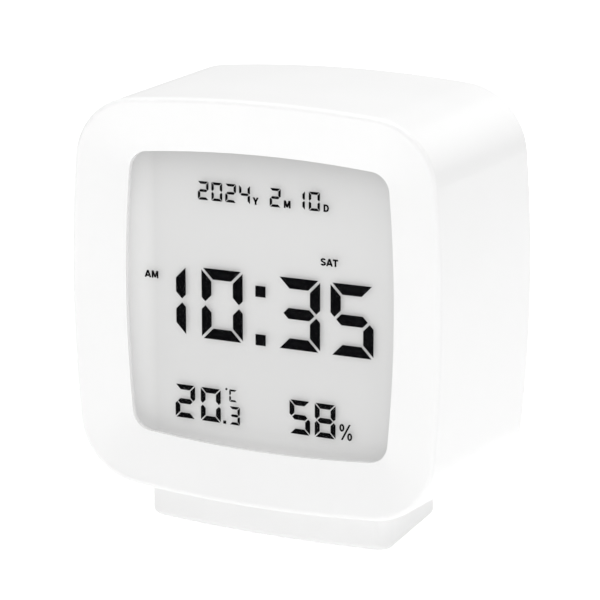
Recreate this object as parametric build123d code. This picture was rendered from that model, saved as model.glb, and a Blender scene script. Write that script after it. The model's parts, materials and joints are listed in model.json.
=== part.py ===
# Desk clock with thermometer and hygrometer, all sizes in millimetres.
# X runs to the right of the display, Y from the front rim to the back, Z up.
# The origin is on the table, under the middle of the body.
from build123d import *
import math
import os

# Clearances and cutting overrun
running_gap = 0.3
seat_gap = 0.1
slip_gap = 0.05
overrun = 2.0

# Body shell
body_width = 80.0
body_height = 80.0
side_bow = 2.75
corner_radius = 13.6
body_depth = 41.0
back_growth_share = 0.0365
shell_wall = 2.0
rim_round = 0.8
rim_setback = 0.23
back_round = 0.6
dish_depth = 3.0
lip_thickness = 1.0
relief_depth = 2.4

# Window opening, inside a ring of these widths
ring_side = 10.85
ring_top = 10.65
window_bow = 1.65
window_corner = 4.1

# Pedestal
pedestal_drop = 7.1
foot_proud = 0.3
pedestal_front_width = 53.7
pedestal_back_width = 49.8
pedestal_bow = 2.1
pedestal_front = 4.5
pedestal_back_setback = 8.35
pedestal_front_corner = 3.2
pedestal_back_corner = 1.1
pedestal_edge_round = 1.5
pedestal_height = 9.7
pedestal_wall = 1.8
pedestal_top = 1.6
pedestal_top_round = 0.5
base_plate = 1.6
foot_pad_thickness = 1.0
foot_pad_inset = 2.6
cover_screw_share = 0.42

# Press action between the body and the pedestal
press_travel = 0.8
well_ceiling = 1.5
well_wall = 1.5
post_spacing = 34.0
post_radius = 2.3
cup_radius = 4.6
cup_wall = 1.2
cup_floor = 1.2
spring_radius = 3.5
spring_wire = 0.6
spring_turns = 4
washer_radius = 4.0
washer_thickness = 0.8
striker_radius = 2.0

# Window, gasket and liquid crystal stack, from the front to the back
window_recess = 0.2
window_gap = 0.12
window_edge_round = 0.15
flange_width = 3.0
flange_thickness = 0.8
gasket_thickness = 0.4
gasket_width = 1.6
polariser_thickness = 0.2
polariser_margin = 1.3
glass_thickness = 0.7
glass_side_margin = 2.85
front_glass_margin = 3.65
rear_glass_margin = 1.65
cell_gap = 0.1
seal_width = 0.8
reflector_thickness = 0.2
light_guide_thickness = 2.0
guide_side_inset = 1.0
guide_top_inset = 0.5
guide_sheet_thickness = 0.2
holder_wall = 1.2
holder_plate = 1.2
holder_corner = 3.0
strip_end_inset = 6.0
strip_thickness = 1.6
led_width = 3.0
led_depth = 1.0

# Widths, heights and strokes of the digits and signs, as shares of the window
time_digit_shares = (0.15609, 0.24106, 0.03688)
date_digit_shares = (0.04031, 0.06218, 0.00858)
reading_digit_shares = (0.07633, 0.11584, 0.01767)
decimal_size_shares = (0.03945, 0.06303, 0.00892)
unit_size_shares = (0.02864, 0.04208, 0.00617)
percent_size_shares = (0.04666, 0.05451)
segment_gap_share = 0.19
segment_tip_share = 0.38
colon_size_share = 0.03774
decimal_point_share = 0.01081
degree_radius_share = 0.00377
legend_height_share = 0.0247
legend_stroke_share = 0.00583

# Where they stand, as shares of the window's width and height
time_row_share = -0.02641
date_row_share = 0.35571
reading_row_share = -0.37615
colon_place_shares = [(-0.01149, 0.0356), (-0.01149, -0.12913)]
time_place_shares = [("1", -0.3748), ("0", -0.1569), ("3", 0.1317), ("5", 0.3262)]
date_place_shares = [("2", -0.2256), ("0", -0.1738), ("2", -0.1218), ("4", -0.0695), ("2", 0.0446),
                     ("1", 0.1334), ("0", 0.1883)]
reading_place_shares = [("2", -0.3027), ("0", -0.2036), ("5", 0.1352), ("8", 0.2293)]
decimal_digit_shares = (-0.1115, -0.4029)
unit_letter_shares = (-0.1175, -0.3339)
decimal_point_shares = (-0.1501, -0.4298)
degree_shares = (-0.1427, -0.3135)
percent_shares = (0.2822, -0.4324)
# Small letters: left and low edge as shares of the window, width as a share of their height
legend_shares = [
    ("A", -0.4563, 0.0402, 1.034), ("M", -0.4283, 0.0402, 1.034),
    ("S", 0.211, 0.1468, 0.793), ("A", 0.2316, 0.1468, 0.966), ("T", 0.2561, 0.1468, 0.745),
    ("Y", -0.0386, 0.325, 0.841), ("M", 0.0767, 0.325, 0.979), ("D", 0.222, 0.325, 0.793),
]

# Main board and what it carries
board_thickness = 1.2
board_side_margin = 1.0
board_top_inset = 0.5
ear_length = 4.0
ear_height = 6.0
display_boss_outset = 2.4
display_boss_inset = 12.5
display_boss_radius = 2.0
display_screw_radius = 0.75
display_screw_head = 1.6
display_screw_head_height = 1.0
display_screw_grip = 2.6
cross_reach_share = 1.1
cross_arm_share = 0.28
cross_depth_share = 0.35
blob_radius = 6.5
blob_height = 1.6
blob_row_share = 0.13385
blob_round_share = 0.9
crystal_radius = 1.0
crystal_length = 6.0
capacitor_radius = 2.0
capacitor_height = 5.0
connector_width = 6.0
connector_height = 4.0
connector_depth = 4.5

# Back cover
cover_thickness = 2.4
cover_recess = 1.0
cover_gap = 0.15
case_boss_inset = 7.5
case_boss_radius = 3.0
case_boss_start = 14.0
case_screw_radius = 1.0
case_screw_head = 2.2
case_screw_head_height = 1.0
case_screw_length = 10.0
case_counterbore = 1.2

# Battery bay, cells and door
cell_radius = 5.25
cell_length = 44.5
cell_pitch = 11.2
cell_nub_radius = 1.9
cell_nub_length = 0.8
contact_room = 5.1
bay_wall = 1.2
bay_row_share = -0.21125
bay_depth = 14.0
door_thickness = 1.6
door_ledge = 1.6
door_tab_width = 6.0
door_tab_spacing = 28.0
door_tab_length = 2.2
door_tab_thickness = 0.8
door_notch_radius = 7.0
door_notch_depth = 1.1
door_groove_count = 4
door_groove_pitch = 1.6
door_groove_width = 0.7
door_groove_depth = 0.3
terminal_thickness = 0.4
terminal_tab_width = 2.0
terminal_tab_length = 1.5
contact_radius = 2.7
contact_wire = 0.5
contact_turns = 3

# Keys on the back
key_pitch = 12.0
key_row_share = 0.2375
key_radius = 3.3
key_flange_radius = 4.4
key_flange_thickness = 0.8
key_proud = 0.6
key_travel = 0.5
key_edge_round = 0.3
switch_size = 6.0
switch_height = 3.4
plunger_radius = 1.7
plunger_stem = 2.5
key_board_width = 58.0
key_board_height = 12.5
key_board_boss_x = 25.6
key_board_boss_radius = 2.2
key_names = ["mode", "up", "down", "alarm"]

# Buzzer, its sound holes and the air slots of the climate sensor
buzzer_radius = 5.5
buzzer_height = 5.0
buzzer_rise_share = 0.36306
buzzer_ring_wall = 1.2
buzzer_ring_share = 0.7
sound_hole_radius = 0.7
sound_hole_pitch = 2.6
air_slot_count = 5
air_slot_pitch = 3.0
air_slot_width = 1.2
air_slot_height = 6.0
air_slot_row_share = 0.3575
sensor_size = 3.0
sensor_height = 1.0

# Leads inside the body
lead_diameter = 0.6
ribbon_width = 5.0
ribbon_thickness = 0.4
lead_arc_share = 0.45

# Heights above the table
body_centre = body_height / 2 + pedestal_drop + foot_proud
pedestal_base = foot_proud
pedestal_back = body_depth - pedestal_back_setback
pedestal_roof = pedestal_base + pedestal_height
ceiling_under = pedestal_roof + press_travel + running_gap
ceiling_top = ceiling_under + well_ceiling
cup_base = pedestal_roof - pedestal_height + foot_pad_thickness + base_plate + seat_gap
cup_seat = cup_base + cup_floor
post_top = ceiling_top + running_gap
post_depth = (pedestal_front + pedestal_back) / 2
post_x = post_spacing / 2

# Widths and heights that follow the body and the window
window_width = body_width - 2 * ring_side
window_height = body_height - 2 * ring_top
glass_width = window_width + 2 * glass_side_margin
front_glass_height = window_height + 2 * front_glass_margin
rear_glass_height = window_height + 2 * rear_glass_margin
light_guide_width = glass_width - 2 * guide_side_inset
light_guide_height = rear_glass_height - 2 * guide_top_inset
strip_length = glass_width - 2 * strip_end_inset
board_width = glass_width + 2 * board_side_margin
board_height = front_glass_height - 2 * board_top_inset
ear_reach = board_width / 2 + ear_length
display_boss_x = board_width / 2 + display_boss_outset
display_boss_z = board_height / 2 - display_boss_inset
case_boss_x = body_width / 2 - case_boss_inset
case_boss_z = body_height / 2 - case_boss_inset

# Depths behind the rim plane, in the order of assembly
seat_depth = dish_depth + lip_thickness
flange_rear = seat_depth + flange_thickness
glass_front = flange_rear + gasket_thickness
segment_front = glass_front + glass_thickness
rear_glass_front = segment_front + cell_gap
reflector_front = rear_glass_front + glass_thickness
guide_front = reflector_front + reflector_thickness
sheet_front = guide_front + light_guide_thickness
plate_front = sheet_front + guide_sheet_thickness
board_front = plate_front + holder_plate
board_rear = board_front + board_thickness
cover_rear = body_depth - cover_recess
cover_front = cover_rear - cover_thickness
key_flange_rear = cover_front - running_gap
key_flange_front = key_flange_rear - key_flange_thickness
switch_rear = key_flange_front - key_travel - running_gap
key_board_rear = switch_rear - switch_height
key_board_front = key_board_rear - board_thickness
bay_width = cell_length + contact_room
bay_half_height = cell_pitch / 2 + cell_radius + running_gap
bay_half_width = bay_width / 2
bay_floor_depth = cover_rear - bay_depth
bay_row = body_height * bay_row_share
bay_high = bay_row + bay_half_height + bay_wall
key_row = body_height * key_row_share
buzzer_row = bay_high + (key_row - bay_high) * buzzer_rise_share
air_slot_row = body_height * air_slot_row_share
holder_width = glass_width + 2 * holder_wall + 4 * seat_gap
holder_height = front_glass_height + 2 * holder_wall + 4 * seat_gap


def y_at(depth):
    # The rounded rim starts a little behind the sharp rim plane that depths count from.
    return depth - (body_depth + rim_setback) / 2


def z_at(rise):
    return body_centre + rise


def front_plane(depth):
    # Local x is to the right and local y is up, seen from the front.
    return Plane(origin=(0, y_at(depth), body_centre), x_dir=(1, 0, 0), z_dir=(0, -1, 0))


def slab(face, front, rear):
    return extrude(front_plane(front) * face, amount=rear - front, dir=(0, 1, 0))


def rod_y(x, rise, radius, front, rear):
    return slab(Pos(x, rise) * Circle(radius), front, rear)


def rod_z(x, depth, radius, low, high):
    return Pos(x, y_at(depth), (low + high) / 2) * Cylinder(radius, high - low)


def block(x0, x1, depth0, depth1, z0, z1):
    centre = Pos((x0 + x1) / 2, y_at((depth0 + depth1) / 2), (z0 + z1) / 2)
    return centre * Box(x1 - x0, depth1 - depth0, z1 - z0)


def rounded(width, height, radius):
    return RectangleRounded(width, height, radius)


def bowed_outline(width, height, bow, corner):
    # Four shallow arcs joined by four tangent corner arcs.
    side_radius = ((height / 2) ** 2 + bow ** 2) / (2 * bow)
    top_radius = ((width / 2) ** 2 + bow ** 2) / (2 * bow)
    side_centre = Vector(width / 2 - side_radius, 0)
    top_centre = Vector(0, height / 2 - top_radius)
    reach_side = side_radius - corner
    reach_top = top_radius - corner
    between = top_centre - side_centre
    span = between.length
    along = (reach_side ** 2 - reach_top ** 2 + span ** 2) / (2 * span)
    across = math.sqrt(reach_side ** 2 - along ** 2)
    unit = between.normalized()
    normal = Vector(-unit.Y, unit.X)
    candidates = [side_centre + unit * along + normal * across * sign for sign in (1, -1)]
    centre = max(candidates, key=lambda point: point.X + point.Y)
    side_touch = side_centre + (centre - side_centre).normalized() * side_radius
    top_touch = top_centre + (centre - top_centre).normalized() * top_radius
    middle = ((side_touch - centre).normalized() + (top_touch - centre).normalized()).normalized()
    corner_mid = centre + middle * corner

    def turned(point, right, up):
        return (point.X * right, point.Y * up)

    edges = [
        ThreePointArc(turned(side_touch, 1, -1), (width / 2, 0), turned(side_touch, 1, 1)),
        ThreePointArc(turned(side_touch, 1, 1), turned(corner_mid, 1, 1), turned(top_touch, 1, 1)),
        ThreePointArc(turned(top_touch, 1, 1), (0, height / 2), turned(top_touch, -1, 1)),
        ThreePointArc(turned(top_touch, -1, 1), turned(corner_mid, -1, 1), turned(side_touch, -1, 1)),
        ThreePointArc(turned(side_touch, -1, 1), (-width / 2, 0), turned(side_touch, -1, -1)),
        ThreePointArc(turned(side_touch, -1, -1), turned(corner_mid, -1, -1), turned(top_touch, -1, -1)),
        ThreePointArc(turned(top_touch, -1, -1), (0, -height / 2), turned(top_touch, 1, -1)),
        ThreePointArc(turned(top_touch, 1, -1), turned(corner_mid, 1, -1), turned(side_touch, 1, -1)),
    ]
    return make_face(edges)


def body_outline(depth, inset=0.0):
    scale = 1 + back_growth_share * depth / body_depth
    width = body_width * scale - 2 * inset
    height = body_height * scale - 2 * inset
    return bowed_outline(width, height, side_bow * scale, corner_radius * scale - inset)


def window_outline(margin=0.0):
    width = window_width + 2 * margin
    height = window_height + 2 * margin
    return bowed_outline(width, height, window_bow, window_corner + margin)


def body_block(front, rear, inset=0.0):
    sections = [front_plane(depth) * body_outline(depth, inset) for depth in (front, rear)]
    return loft(sections, ruled=True)


def dish_cutter():
    # The ring slopes from the outline of the rim to the window.
    sections = [front_plane(0) * body_outline(0), front_plane(dish_depth) * window_outline()]
    return loft(sections, ruled=True)


def pedestal_plan(grow, level):
    # A plan that narrows to the back, with a bowed front, drawn in world X and Y.
    front_half = pedestal_front_width / 2 + grow
    back_half = pedestal_back_width / 2 + grow
    front_corner_y = y_at(pedestal_front + pedestal_bow) - grow
    front_centre_y = y_at(pedestal_front) - grow
    back_y = y_at(pedestal_back) + grow
    outline = [
        ThreePointArc((-front_half, front_corner_y), (0, front_centre_y), (front_half, front_corner_y)),
        Line((front_half, front_corner_y), (back_half, back_y)),
        Line((back_half, back_y), (-back_half, back_y)),
        Line((-back_half, back_y), (-front_half, front_corner_y)),
    ]
    face = make_face(outline)
    corners = face.vertices().sort_by(Axis.Y)
    face = fillet(corners[:2], max(pedestal_front_corner + grow, slip_gap))
    corners = [v for v in face.vertices() if abs(v.Y - back_y) < slip_gap]
    face = fillet(corners, max(pedestal_back_corner + grow, slip_gap))
    return Pos(0, 0, level) * face


def display_places():
    return [(sx * display_boss_x, sz * display_boss_z) for sx in (-1, 1) for sz in (-1, 1)]


def case_places():
    return [(sx * case_boss_x, sz * case_boss_z) for sx in (-1, 1) for sz in (-1, 1)]


def front_shell():
    outer = body_block(0, body_depth)
    shell = outer - dish_cutter()
    rim = [e for e in shell.edges() if e.center().Y < y_at(dish_depth / 2) and e.length > corner_radius]
    shell = fillet(rim, rim_round)
    back = shell.edges().group_by(Axis.Y)[-1]
    shell = fillet(back, back_round)
    shell -= body_block(seat_depth, body_depth + overrun, shell_wall)
    shell -= slab(window_outline(), 0, seat_depth + overrun)
    relief = slab(body_outline(relief_depth, shell_wall), relief_depth, seat_depth)
    wedge_sections = [
        front_plane(relief_depth) * body_outline(relief_depth, shell_wall),
        front_plane(seat_depth) * rounded(holder_width + lip_thickness, holder_height + lip_thickness,
                                          holder_corner + lip_thickness),
    ]
    shell -= relief - loft(wedge_sections, ruled=True)
    well_low = pedestal_base
    well = extrude(pedestal_plan(running_gap + well_wall, well_low), amount=ceiling_top - well_low)
    shell += (well & outer) - slab(window_outline(flange_width), 0, seat_depth)
    shell -= extrude(pedestal_plan(running_gap, well_low - overrun),
                     amount=ceiling_under - well_low + overrun)
    for side in (-1, 1):
        shell -= rod_z(side * post_x, post_depth, post_radius + slip_gap, ceiling_under - overrun,
                       ceiling_top + overrun)
        shell += press_standoff(side)
    shell -= rod_z(0, post_depth, striker_radius + running_gap, ceiling_under - overrun,
                   ceiling_top + overrun)
    for x, rise in display_places():
        boss = rod_y(x, rise, display_boss_radius, seat_depth, ear_front())
        pilot = rod_y(x, rise, display_screw_radius + slip_gap, seat_depth + lip_thickness,
                      ear_front() + overrun)
        shell += (boss & outer) - pilot
        shell -= pilot
    for x, rise in case_places():
        boss = rod_y(x, rise, case_boss_radius, case_boss_start, cover_front)
        shell += boss & outer
        shell -= rod_y(x, rise, case_screw_radius + slip_gap, cover_front - case_screw_length,
                       cover_front + overrun)
    return shell


def ear_front():
    return board_front - holder_plate - lip_thickness


def display_window():
    plug = slab(window_outline(-window_gap), dish_depth + window_recess, seat_depth)
    plug = fillet(plug.edges().group_by(Axis.Y)[0], window_edge_round)
    return plug + slab(window_outline(flange_width - slip_gap), seat_depth, flange_rear)


def window_gasket():
    ring = window_outline(flange_width - slip_gap) - window_outline(flange_width - gasket_width)
    return slab(ring, flange_rear, glass_front)


def front_polariser():
    return slab(window_outline(polariser_margin), glass_front - polariser_thickness, glass_front)


def front_glass():
    return slab(Rectangle(glass_width, front_glass_height), glass_front, segment_front)


def cell_seal():
    ring = Rectangle(glass_width, rear_glass_height)
    ring -= Rectangle(glass_width - 2 * seal_width, rear_glass_height - 2 * seal_width)
    return slab(ring, segment_front, rear_glass_front)


def rear_glass():
    return slab(Rectangle(glass_width, rear_glass_height), rear_glass_front, reflector_front)


def reflector():
    film = Rectangle(glass_width - seal_width, rear_glass_height - seal_width)
    return slab(film, reflector_front, guide_front)


def light_guide():
    return slab(rounded(light_guide_width, light_guide_height, lip_thickness), guide_front, sheet_front)


def guide_sheet():
    return slab(rounded(light_guide_width, light_guide_height, lip_thickness), sheet_front, plate_front)


def strip_rise():
    return (front_glass_height + rear_glass_height) / 4


def lcd_holder():
    tube = slab(rounded(holder_width, holder_height, holder_corner), seat_depth, board_front)
    pocket_width = glass_width + 4 * seat_gap
    pocket_height = front_glass_height + 4 * seat_gap
    tube -= slab(Rectangle(pocket_width, pocket_height), seat_depth - overrun, plate_front)
    for side in (-1, 1):
        slot = Rectangle(strip_length + 4 * seat_gap, strip_thickness + 4 * seat_gap)
        tube -= slab(Pos(0, side * strip_rise()) * slot, plate_front - overrun, board_front + overrun)
    for x, rise in display_places():
        side = math.copysign(1, x)
        inner = holder_width / 2 - holder_wall
        ear = Pos(side * (inner + ear_reach) / 2, rise) * Rectangle(ear_reach - inner, ear_height)
        ear_block = slab(ear, ear_front(), board_front)
        tube += ear_block - rod_y(x, rise, display_screw_radius + seat_gap, ear_front() - overrun,
                                  board_front + overrun)
    return tube


def contact_strips():
    strip = Rectangle(strip_length, strip_thickness)
    strips = [slab(Pos(0, side * strip_rise()) * strip, segment_front, board_front) for side in (-1, 1)]
    return Compound(children=[s.solid() for s in strips])


def backlight_leds():
    x0 = light_guide_width / 2
    height = plate_front - guide_front
    leds = [
        block(x0, x0 + led_depth, guide_front, guide_front + height, z_at(place - led_width / 2),
              z_at(place + led_width / 2))
        for place in (-light_guide_height / 4, light_guide_height / 4)
    ]
    return Compound(children=[led.solid() for led in leds])


def segment_outline(name, size):
    # One bar of a seven-bar digit, centred on the digit, with 45 degree mitred ends.
    width, height, stroke = size
    gap = stroke * segment_gap_share
    tip = stroke * segment_tip_share
    right, top = width / 2, height / 2
    flat = [(-right + gap, top), (right - gap, top), (right - gap - stroke, top - stroke),
            (-right + gap + stroke, top - stroke)]
    upright = [(right, top - gap), (right, gap + tip), (right - tip, gap),
               (right - stroke, gap + stroke - tip), (right - stroke, top - gap - stroke)]
    end = right - tip - gap
    half = stroke / 2
    middle = [(-end, 0), (-end + half, half), (end - half, half), (end, 0), (end - half, -half),
              (-end + half, -half)]
    shapes = {"a": (flat, 1, 1), "d": (flat, 1, -1), "b": (upright, 1, 1), "c": (upright, 1, -1),
              "f": (upright, -1, 1), "e": (upright, -1, -1), "g": (middle, 1, 1)}
    points, flip_x, flip_y = shapes[name]
    return [(x * flip_x, y * flip_y) for x, y in points]


lit_segments = {
    "0": "abcdef", "1": "bc", "2": "abged", "3": "abgcd", "4": "fgbc", "5": "afgcd", "8": "abcdefg",
    "C": "afed",
}


def ink(face):
    return slab(face, segment_front, rear_glass_front).solid()


def digit(symbol, x, rise, size):
    faces = [make_face(Polyline(segment_outline(name, size), close=True)) for name in lit_segments[symbol]]
    return [ink(Pos(x, rise) * face) for face in faces]


def in_window(shares):
    return shares[0] * window_width, shares[1] * window_height


def digit_size(shares):
    width_share, height_share, stroke_share = shares
    return width_share * window_width, height_share * window_height, stroke_share * window_width


def digit_row(place_shares, row_share, size_shares):
    solids = []
    for symbol, x_share in place_shares:
        solids += digit(symbol, *in_window((x_share, row_share)), digit_size(size_shares))
    return solids


def time_digits():
    # Hours and minutes, with the two square dots between them.
    solids = digit_row(time_place_shares, time_row_share, time_digit_shares)
    side = colon_size_share * window_width
    for place in colon_place_shares:
        solids.append(ink(Pos(*in_window(place)) * Rectangle(side, side)))
    return Compound(children=solids)


def date_digits():
    return Compound(children=digit_row(date_place_shares, date_row_share, date_digit_shares))


def reading_digits():
    # Temperature on the left, humidity on the right.
    solids = digit_row(reading_place_shares, reading_row_share, reading_digit_shares)
    solids += digit("3", *in_window(decimal_digit_shares), digit_size(decimal_size_shares))
    solids += digit("C", *in_window(unit_letter_shares), digit_size(unit_size_shares))
    point = decimal_point_share * window_width
    solids.append(ink(Pos(*in_window(decimal_point_shares)) * Rectangle(point, point)))
    solids.append(ink(Pos(*in_window(degree_shares)) * Circle(degree_radius_share * window_width)))
    return Compound(children=solids)


def bar_outline(start, end, stroke):
    along = (Vector(*end) - Vector(*start)).normalized()
    side = Vector(-along.Y, along.X) * (stroke / 2)
    corners = [Vector(*start) + side, Vector(*end) + side, Vector(*end) - side, Vector(*start) - side]
    return make_face(Polyline([(c.X, c.Y) for c in corners], close=True))


def band_outline(centre, radius_x, radius_y, first, last, stroke, steps=12):
    # A stretch of an oval ring, from the first to the last angle in degrees.
    angles = [math.radians(first + (last - first) * i / steps) for i in range(steps + 1)]
    outer = [(centre[0] + radius_x * math.cos(a), centre[1] + radius_y * math.sin(a)) for a in angles]
    inner_x, inner_y = radius_x - stroke, radius_y - stroke
    inner = [(centre[0] + inner_x * math.cos(a), centre[1] + inner_y * math.sin(a)) for a in angles]
    return make_face(Polyline(outer + inner[::-1], close=True))


# Each letter is a list of bars, as shares of its box: start x, start y, end x, end y.
letter_bar_shares = {
    "A": [(0.12, 0.0, 0.5, 1.0), (0.88, 0.0, 0.5, 1.0), (0.25, 0.28, 0.75, 0.28)],
    "M": [(0.12, 0.0, 0.12, 1.0), (0.88, 0.0, 0.88, 1.0), (0.16, 1.0, 0.5, 0.1), (0.84, 1.0, 0.5, 0.1)],
    "T": [(0.5, 0.0, 0.5, 1.0), (0.0, 0.88, 1.0, 0.88)],
    "Y": [(0.5, 0.0, 0.5, 0.5), (0.1, 1.04, 0.53, 0.38), (0.9, 1.04, 0.47, 0.38)],
    "D": [(0.14, 0.0, 0.14, 1.0), (0.1, 0.88, 0.5, 0.88), (0.1, 0.12, 0.5, 0.12)],
    "S": [],
    "%": [(0.18, -0.02, 0.82, 1.02)],
}
# Curved strokes: centre x, centre y, radius x, radius y, first angle, last angle.
letter_band_shares = {
    "D": [(0.45, 0.5, 0.52, 0.5, -90, 90)],
    "S": [(0.5, 0.72, 0.48, 0.29, 15, 270), (0.5, 0.285, 0.5, 0.29, -165, 90)],
    "%": [(0.19, 0.76, 0.19, 0.24, 0, 360), (0.81, 0.24, 0.19, 0.24, 0, 360)],
}


def letter(symbol, left, low, width, height, stroke):
    pieces = []
    for x0, y0, x1, y1 in letter_bar_shares[symbol]:
        pieces.append(bar_outline((x0 * width, y0 * height), (x1 * width, y1 * height), stroke))
    for cx, cy, rx, ry, first, last in letter_band_shares.get(symbol, []):
        if last - first >= 360:
            ring = Ellipse(rx * width, ry * height) - Ellipse(rx * width - stroke, ry * height - stroke)
            pieces.append(Pos(cx * width, cy * height) * ring)
        else:
            centre = (cx * width, cy * height)
            pieces.append(band_outline(centre, rx * width, ry * height, first, last, stroke))
    shape = pieces[0]
    for piece in pieces[1:]:
        shape = shape + piece
    shape = shape & (Pos(width / 2, height / 2) * Rectangle(width, height))
    return [slab(Pos(left, low) * face, segment_front, rear_glass_front).solid() for face in shape.faces()]


def display_legends():
    # AM, SAT and the letters after year, month and day, then the percent sign.
    solids = []
    height = legend_height_share * window_height
    stroke = legend_stroke_share * window_width
    for symbol, left_share, low_share, width_share in legend_shares:
        left, low = in_window((left_share, low_share))
        solids += letter(symbol, left, low, width_share * height, height, stroke)
    solids += letter("%", *in_window(percent_shares), *in_window(percent_size_shares), stroke)
    return Compound(children=solids)


def main_board():
    board = Rectangle(board_width, board_height)
    for x, rise in display_places():
        side = math.copysign(1, x)
        board += Pos(side * (ear_reach - ear_height / 2), rise) * Rectangle(ear_height, ear_height)
    for x, rise in display_places():
        board -= Pos(x, rise) * Circle(display_screw_radius + seat_gap)
    return slab(board, board_front, board_rear)


def display_screws():
    screws = []
    for x, rise in display_places():
        head_rear = board_rear + display_screw_head_height
        head = rod_y(x, rise, display_screw_head, board_rear, head_rear)
        head = fillet(head.edges().group_by(Axis.Y)[-1], display_screw_head_height / 3)
        shank = rod_y(x, rise, display_screw_radius, ear_front() - display_screw_grip, board_rear)
        screws.append((head + shank - cross_recess(x, rise, display_screw_head, head_rear)).solid())
    return Compound(children=screws)


def cross_recess(x, rise, head_radius, head_rear):
    # The cross that a screwdriver turns, cut into the back of a head.
    reach = head_radius * cross_reach_share
    arm = head_radius * cross_arm_share
    depth = head_radius * cross_depth_share
    cross = Rectangle(reach, arm) + Rectangle(arm, reach)
    return slab(Pos(x, rise) * cross, head_rear - depth, head_rear + overrun)


def controller_blob():
    dome = rod_y(0, board_height * blob_row_share, blob_radius, board_rear, board_rear + blob_height)
    return fillet(dome.edges().group_by(Axis.Y)[-1], blob_height * blob_round_share)


def crystal_can():
    body = Cylinder(crystal_radius, crystal_length)
    return Pos(blob_radius * 2, y_at(board_rear + crystal_radius), z_at(blob_radius)) * body


def board_components():
    # Two electrolytic capacitors and a row of chip resistors.
    solids = []
    for side in (-1, 1):
        can = rod_y(side * capacitor_radius * 4, -blob_radius, capacitor_radius, board_rear,
                    board_rear + capacitor_height)
        solids.append(fillet(can.edges().group_by(Axis.Y)[-1], capacitor_radius / 5).solid())
    chip = crystal_radius
    for place in range(6):
        x = (place - 2.5) * chip * 4
        low = z_at(blob_radius * 3)
        solids.append(block(x, x + 2 * chip, board_rear, board_rear + chip / 2, low, low + chip).solid())
    return Compound(children=solids)


def connector_x():
    return [-board_width / 3, 0, board_width / 3]


def board_connectors():
    solids = []
    for x in connector_x():
        low = z_at(-board_height / 4 - connector_height)
        body = block(x - connector_width / 2, x + connector_width / 2, board_rear,
                     board_rear + connector_depth, low, low + connector_height)
        solids.append(body.solid())
    return Compound(children=solids)


def key_x(index):
    # Numbered from the left as seen from behind, where the keys are used.
    return key_pitch * ((len(key_names) - 1) / 2 - index)


def door_half_width():
    return bay_half_width + door_ledge


def door_half_height():
    return bay_half_height + door_ledge


def tab_places():
    return [side * door_tab_spacing / 2 for side in (-1, 1)]


def back_cover():
    cover = body_block(cover_front, cover_rear, shell_wall + cover_gap)
    bay_outer = Rectangle(bay_width + 2 * bay_wall, 2 * (bay_half_height + bay_wall))
    cover += slab(Pos(0, bay_row) * bay_outer, bay_floor_depth - bay_wall, cover_front)
    for side in (-1, 1):
        cover += rod_y(side * key_board_boss_x, key_row, key_board_boss_radius, key_board_rear, cover_front)
    ring = Circle(buzzer_radius + seat_gap + buzzer_ring_wall) - Circle(buzzer_radius + seat_gap)
    cover += slab(Pos(0, buzzer_row) * ring, cover_front - buzzer_height * buzzer_ring_share, cover_front)
    cover -= slab(Pos(0, bay_row) * Rectangle(bay_width, 2 * bay_half_height), bay_floor_depth,
                  cover_rear + overrun)
    door_pocket = Rectangle(2 * (door_half_width() + running_gap), 2 * (door_half_height() + running_gap))
    cover -= slab(Pos(0, bay_row) * door_pocket, cover_rear - door_thickness, cover_rear + overrun)
    for rise in cell_rises():
        reach = terminal_tab_width / 2 + seat_gap
        cover -= block(bay_half_width - terminal_thickness - seat_gap, bay_half_width + slip_gap,
                       bay_floor_depth - bay_wall - overrun, bay_floor_depth, z_at(rise - reach),
                       z_at(rise + reach))
    hinge_rise = bay_row - door_half_height()
    skin = cover_rear - lip_thickness
    for x in tab_places():
        half = door_tab_width / 2 + running_gap
        slot_low = hinge_rise - door_tab_length - running_gap
        cover -= block(x - half, x + half, cover_front - overrun, skin, z_at(slot_low), z_at(hinge_rise))
        wall_top = bay_row - bay_half_height
        cover -= block(x - half, x + half, cover_front - door_tab_length, cover_rear, z_at(hinge_rise),
                       z_at(wall_top))
    notch = slab(Pos(0, bay_row + door_half_height()) * Circle(door_notch_radius),
                 cover_rear - door_notch_depth, cover_rear + overrun)
    cover -= notch
    for index in range(len(key_names)):
        cover -= rod_y(key_x(index), key_row, key_radius + running_gap, cover_front - overrun,
                       cover_rear + overrun)
    for side in (-1, 1):
        cover -= rod_y(side * key_board_boss_x, key_row, display_screw_radius + slip_gap,
                       key_board_rear - overrun, cover_front)
    for x, rise in case_places():
        cover -= rod_y(x, rise, case_screw_radius + 2 * seat_gap, cover_front - overrun, cover_rear + overrun)
        cover -= rod_y(x, rise, case_screw_head + running_gap, cover_rear - case_counterbore,
                       cover_rear + overrun)
    for step in range(7):
        angle = math.radians(60 * step)
        spread = sound_hole_pitch if step < 6 else 0
        x, rise = spread * math.cos(angle), buzzer_row + spread * math.sin(angle)
        cover -= rod_y(x, rise, sound_hole_radius, cover_front - overrun, cover_rear + overrun)
    for step in range(air_slot_count):
        x = air_slot_pitch * (step - (air_slot_count - 1) / 2)
        slot = Pos(x, air_slot_row) * SlotOverall(air_slot_height, air_slot_width, rotation=90)
        cover -= slab(slot, cover_front - overrun, cover_rear + overrun)
    return cover


def case_screws():
    screws = []
    seat = cover_rear - case_counterbore
    for x, rise in case_places():
        head_rear = seat + case_screw_head_height
        head = rod_y(x, rise, case_screw_head, seat, head_rear)
        head = fillet(head.edges().group_by(Axis.Y)[-1], case_screw_head_height / 3)
        shank = rod_y(x, rise, case_screw_radius, cover_front - case_screw_length + lip_thickness, seat)
        screws.append((head + shank - cross_recess(x, rise, case_screw_head, head_rear)).solid())
    return Compound(children=screws)


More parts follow.
